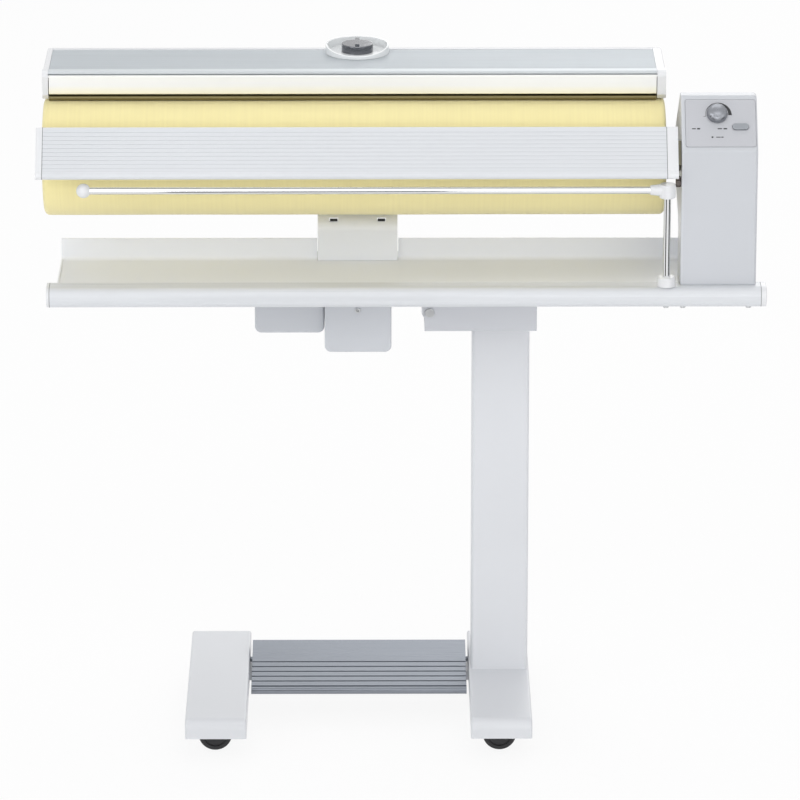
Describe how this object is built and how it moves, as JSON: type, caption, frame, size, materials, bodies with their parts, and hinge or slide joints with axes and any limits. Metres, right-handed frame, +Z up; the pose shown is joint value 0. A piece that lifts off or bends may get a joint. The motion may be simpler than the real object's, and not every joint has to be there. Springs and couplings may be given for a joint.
{
  "type": "rotary flatwork ironer",
  "caption": "Stand-mounted rotary ironer with a padded roller, hinged heated shoe, laundry tray, sloped control box, folding column, castor feet and a foot bar.",
  "frame": {"origin": "on the floor, at the middle of the overall width and depth", "axes": "+X to the control box end, seen from the front; +Y to the back; +Z up"},
  "size_m": [0.98, 0.38, 0.9459],
  "materials": {
    "white_coat": "semi-gloss powder coat on sheet steel",
    "white_aluminium": "white coated extrusion",
    "grey_aluminium": "silver anodised, ribbed",
    "bare_aluminium": "polished ironing face",
    "zinc": "zinc plated",
    "dark_steel": "oxidised heater sheath",
    "spring_steel": "drawn wire",
    "motor_steel": "satin",
    "cast_metal": "as cast",
    "gear_steel": "machined",
    "gear_plastic": "moulded",
    "light_plastic": "fine moulded grain",
    "white_plastic": "moulded",
    "grey_plastic": "moulded",
    "black_plastic": "moulded",
    "tank_plastic": "translucent moulding",
    "roller_cloth": "woven cotton cover over padding",
    "chrome_cap": "polished",
    "chrome_rod": "polished",
    "silver_knob": "satin turned",
    "circuit": "varnished board"
  },
  "bodies": {
    "base": {"left_foot": "white_coat", "right_foot": "white_coat", "foot_crossbar": "white_coat", "column": "white_coat", "fold_bracket": "white_coat", "fold_pin": "zinc", "foot_switch": "black_plastic", "pedal_springs": "spring_steel"},
    "foot_pedal": {"foot_bar": "grey_aluminium"},
    "clamp": {"fold_clamp": "black_plastic"},
    "upper_unit": {"fold_arm": "white_coat", "chassis_beam": "white_coat", "tray": "white_coat", "front_rail": "white_aluminium", "profile_end_caps": "white_plastic", "press_motor_cover": "light_plastic", "press_gear_cover": "light_plastic", "press_motor": "motor_steel", "support_bracket": "white_coat", "shoe_pivot_pin": "zinc", "roller_axle": "zinc", "feed_board": "white_aluminium", "feed_board_brackets": "zinc", "control_shell": "white_coat", "control_side_cover": "white_coat", "control_fascia": "light_plastic", "control_circuit": "circuit", "drive_frame": "zinc", "gear_motor": "motor_steel", "rail_bush": "white_plastic", "unit_screws": "zinc"},
    "roller": {"roller_tube": "zinc", "roller_ends": "cast_metal", "roller_gear": "gear_plastic", "roller_padding": "roller_cloth"},
    "pinion": {"drive_pinion": "gear_steel"},
    "shoe": {"shoe_plate": "bare_aluminium", "heating_elements": "dark_steel", "shoe_carrier": "zinc", "cover_back": "white_coat", "cover_top": "grey_aluminium", "cover_end_caps": "white_plastic", "water_tank": "tank_plastic", "filler_collar": "white_plastic"},
    "guard": {"finger_guard": "white_aluminium"},
    "filler": {"filler_cap": "chrome_cap"},
    "crank": {"press_crank": "zinc"},
    "link": {"press_link": "zinc"},
    "laundry_rail": {"rail_rods": "chrome_rod", "rail_fittings": "white_plastic"},
    "dial": {"control_dial": "silver_knob"},
    "button": {"power_button": "grey_plastic"},
    "fork_front_left": {"castor_fork_front_left": "zinc"},
    "wheel_front_left": {"castor_wheel_front_left": "black_plastic"},
    "fork_front_right": {"castor_fork_front_right": "zinc"},
    "wheel_front_right": {"castor_wheel_front_right": "black_plastic"},
    "fork_back_left": {"castor_fork_back_left": "zinc"},
    "wheel_back_left": {"castor_wheel_back_left": "black_plastic"},
    "fork_back_right": {"castor_fork_back_right": "zinc"},
    "wheel_back_right": {"castor_wheel_back_right": "black_plastic"}
  },
  "joints": [
    {"name": "castor_swivel_front_left", "type": "hinge", "parent": "base", "child": "fork_front_left", "pos_m": [-0.247, -0.135, 0.05], "axis": [0, 0, 1], "continuous": true},
    {"name": "castor_roll_front_left", "type": "hinge", "parent": "fork_front_left", "child": "wheel_front_left", "pos_m": [-0.257, -0.135, 0.023], "axis": [0, 1, 0], "continuous": true},
    {"name": "castor_swivel_front_right", "type": "hinge", "parent": "base", "child": "fork_front_right", "pos_m": [0.144, -0.135, 0.05], "axis": [0, 0, 1], "continuous": true},
    {"name": "castor_roll_front_right", "type": "hinge", "parent": "fork_front_right", "child": "wheel_front_right", "pos_m": [0.134, -0.135, 0.023], "axis": [0, 1, 0], "continuous": true},
    {"name": "castor_swivel_back_left", "type": "hinge", "parent": "base", "child": "fork_back_left", "pos_m": [-0.247, 0.114, 0.05], "axis": [0, 0, 1], "continuous": true},
    {"name": "castor_roll_back_left", "type": "hinge", "parent": "fork_back_left", "child": "wheel_back_left", "pos_m": [-0.257, 0.114, 0.023], "axis": [0, 1, 0], "continuous": true},
    {"name": "castor_swivel_back_right", "type": "hinge", "parent": "base", "child": "fork_back_right", "pos_m": [0.144, 0.114, 0.05], "axis": [0, 0, 1], "continuous": true},
    {"name": "castor_roll_back_right", "type": "hinge", "parent": "fork_back_right", "child": "wheel_back_right", "pos_m": [0.134, 0.114, 0.023], "axis": [0, 1, 0], "continuous": true},
    {"name": "foot_bar_press", "type": "hinge", "parent": "base", "child": "foot_pedal", "pos_m": [-0.0565, 0.09, 0.048], "axis": [1, 0, 0], "range_deg": [0, 3], "stiffness_Nm_per_rad": 14, "springref_deg": -5.73},
    {"name": "fold", "type": "hinge", "parent": "base", "child": "upper_unit", "pos_m": [0.038, 0.012, 0.602], "axis": [0, -1, 0], "range_deg": [0, 90]},
    {"name": "clamp_turn", "type": "hinge", "parent": "base", "child": "clamp", "pos_m": [0.15, 0.08, 0.606], "axis": [0, 1, 0], "range_deg": [0, 90]},
    {"name": "roller_spin", "type": "hinge", "parent": "upper_unit", "child": "roller", "pos_m": [0, -0.007, 0.811], "axis": [1, 0, 0], "continuous": true},
    {"name": "pinion_spin", "type": "hinge", "parent": "upper_unit", "child": "pinion", "pos_m": [0.385, -0.04674, 0.77646], "axis": [1, 0, 0], "continuous": true},
    {"name": "shoe_open", "type": "hinge", "parent": "upper_unit", "child": "shoe", "pos_m": [-0.06, 0.123, 0.702], "axis": [-1, 0, 0], "range_deg": [0, 8]},
    {"name": "press_crank_turn", "type": "hinge", "parent": "upper_unit", "child": "crank", "pos_m": [-0.066, 0.045, 0.603], "axis": [1, 0, 0], "range_deg": [0, 90.5]},
    {"name": "press_link_slide", "type": "slide", "parent": "upper_unit", "child": "link", "axis": [0, 0, 1], "range_m": [0, 0.011]},
    {"name": "guard_tilt", "type": "hinge", "parent": "shoe", "child": "guard", "pos_m": [-0.066, -0.02, 0.9253], "axis": [1, 0, 0], "range_deg": [0, 3], "stiffness_Nm_per_rad": 1, "springref_deg": -1.72},
    {"name": "filler_cap_turn", "type": "hinge", "parent": "shoe", "child": "filler", "pos_m": [-0.06, 0.094, 0.938], "axis": [0, 0, 1], "range_deg": [0, 90]},
    {"name": "rail_swing", "type": "hinge", "parent": "upper_unit", "child": "laundry_rail", "pos_m": [0.355, -0.131, 0.67], "axis": [0, 0, 1], "range_deg": [0, 120]},
    {"name": "dial_turn", "type": "hinge", "parent": "upper_unit", "child": "dial", "pos_m": [0.422, -0.09136, 0.89058], "axis": [0, -0.7593, 0.6508], "range_deg": [-270, 0]},
    {"name": "button_press", "type": "slide", "parent": "upper_unit", "child": "button", "axis": [0, 0.7593, -0.6508], "range_m": [0, 0.002], "stiffness_N_per_m": 600, "springref_m": -0.001}
  ],
  "couplings": [
    {"joint": "pinion_spin", "follows": "roller_spin", "ratio": -2.5},
    {"joint": "press_crank_turn", "follows": "shoe_open", "ratio": 11.25},
    {"joint": "press_link_slide", "follows": "shoe_open", "m_per_rad": 0.078}
  ]
}
